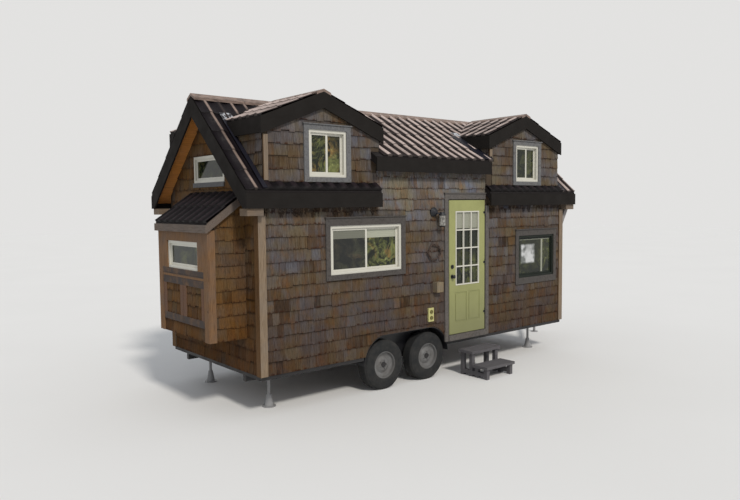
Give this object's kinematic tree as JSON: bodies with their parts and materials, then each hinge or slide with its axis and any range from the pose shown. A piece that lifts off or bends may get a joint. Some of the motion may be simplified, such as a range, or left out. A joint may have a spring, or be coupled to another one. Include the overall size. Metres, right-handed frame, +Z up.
{
  "type": "tiny house on wheels",
  "caption": "Small shingled cabin on a tandem axle trailer, with a ribbed metal roof, cross-gable dormers, an end bump-out, a glazed door and wooden steps.",
  "frame": {"origin": "on the ground under the middle of the whole outline", "axes": "+X along the house towards the tongue, +Y from the door side to the back, +Z up"},
  "size_m": [7.81, 3.27, 4.0543],
  "materials": {
    "steel": "satin",
    "black_sheet": "gloss",
    "zinc": "satin",
    "tyre": "matte",
    "deck_wood": "matte",
    "weathered_shingle": "matte",
    "warm_shingle": "matte",
    "roof_metal": "satin",
    "dark_board": "satin",
    "tan_board": "matte",
    "grey_board": "matte",
    "pale_frame": "satin",
    "dark_frame": "satin",
    "glass": "gloss",
    "door_paint": "satin",
    "black_metal": "satin",
    "step_boards": "matte",
    "twigs": "matte",
    "planter_wood": "matte",
    "yellow_plate": "gloss"
  },
  "bodies": {
    "house": {"chassis_rails": "steel", "cross_members": "steel", "tongue": "steel", "coupler": "zinc", "tongue_jack": "zinc", "axles": "steel", "leaf_springs": "steel", "fenders": "black_sheet", "stands": "zinc", "floor_deck": "deck_wood", "front_wall_left": "weathered_shingle", "front_wall_right": "weathered_shingle", "front_wall_over_door": "weathered_shingle", "back_wall": "weathered_shingle", "left_end_wall": "warm_shingle", "right_end_wall": "weathered_shingle", "front_dormer_left": "weathered_shingle", "front_dormer_right": "weathered_shingle", "back_dormer_left": "weathered_shingle", "back_dormer_right": "weathered_shingle", "main_roof_left": "roof_metal", "main_roof_right": "roof_metal", "middle_roof": "roof_metal", "dormer_roof_left": "roof_metal", "dormer_roof_right": "roof_metal", "eave_boards": "dark_board", "rake_boards": "dark_board", "dormer_boards": "dark_board", "ridge_caps": "roof_metal", "corner_boards": "tan_board", "window_casings": "grey_board", "pale_window_frames": "pale_frame", "dark_window_frames": "dark_frame", "window_glass": "glass", "bump_out_walls": "warm_shingle", "bump_out_roof": "roof_metal", "bump_out_boards": "grey_board", "door_frame": "grey_board", "frame_hinges": "black_metal", "step_treads": "step_boards", "step_frame": "step_boards", "eave_brackets": "tan_board", "lantern": "black_metal", "wreath": "twigs", "wall_planter": "planter_wood", "socket_plate": "yellow_plate"},
    "door": {"door_slab": "door_paint", "door_lites": "pale_frame", "door_glass": "glass", "door_hardware": "black_metal"},
    "wheel_front_left": {"wheel_front_left": "tyre"},
    "wheel_front_right": {"wheel_front_right": "tyre"},
    "wheel_back_left": {"wheel_back_left": "tyre"},
    "wheel_back_right": {"wheel_back_right": "tyre"}
  },
  "joints": [
    {"name": "door_hinge", "type": "hinge", "parent": "house", "child": "door", "pos_m": [0.702, -1.034, 1.63], "axis": [0, 0, 1], "range_deg": [0, 90]},
    {"name": "wheel_front_left_spin", "type": "hinge", "parent": "house", "child": "wheel_front_left", "pos_m": [-1.355, -0.8875, 0.35], "axis": [0, 1, 0], "continuous": true},
    {"name": "wheel_front_right_spin", "type": "hinge", "parent": "house", "child": "wheel_front_right", "pos_m": [-0.515, -0.8875, 0.35], "axis": [0, 1, 0], "continuous": true},
    {"name": "wheel_back_left_spin", "type": "hinge", "parent": "house", "child": "wheel_back_left", "pos_m": [-1.355, 1.3775, 0.35], "axis": [0, 1, 0], "continuous": true},
    {"name": "wheel_back_right_spin", "type": "hinge", "parent": "house", "child": "wheel_back_right", "pos_m": [-0.515, 1.3775, 0.35], "axis": [0, 1, 0], "continuous": true}
  ]
}
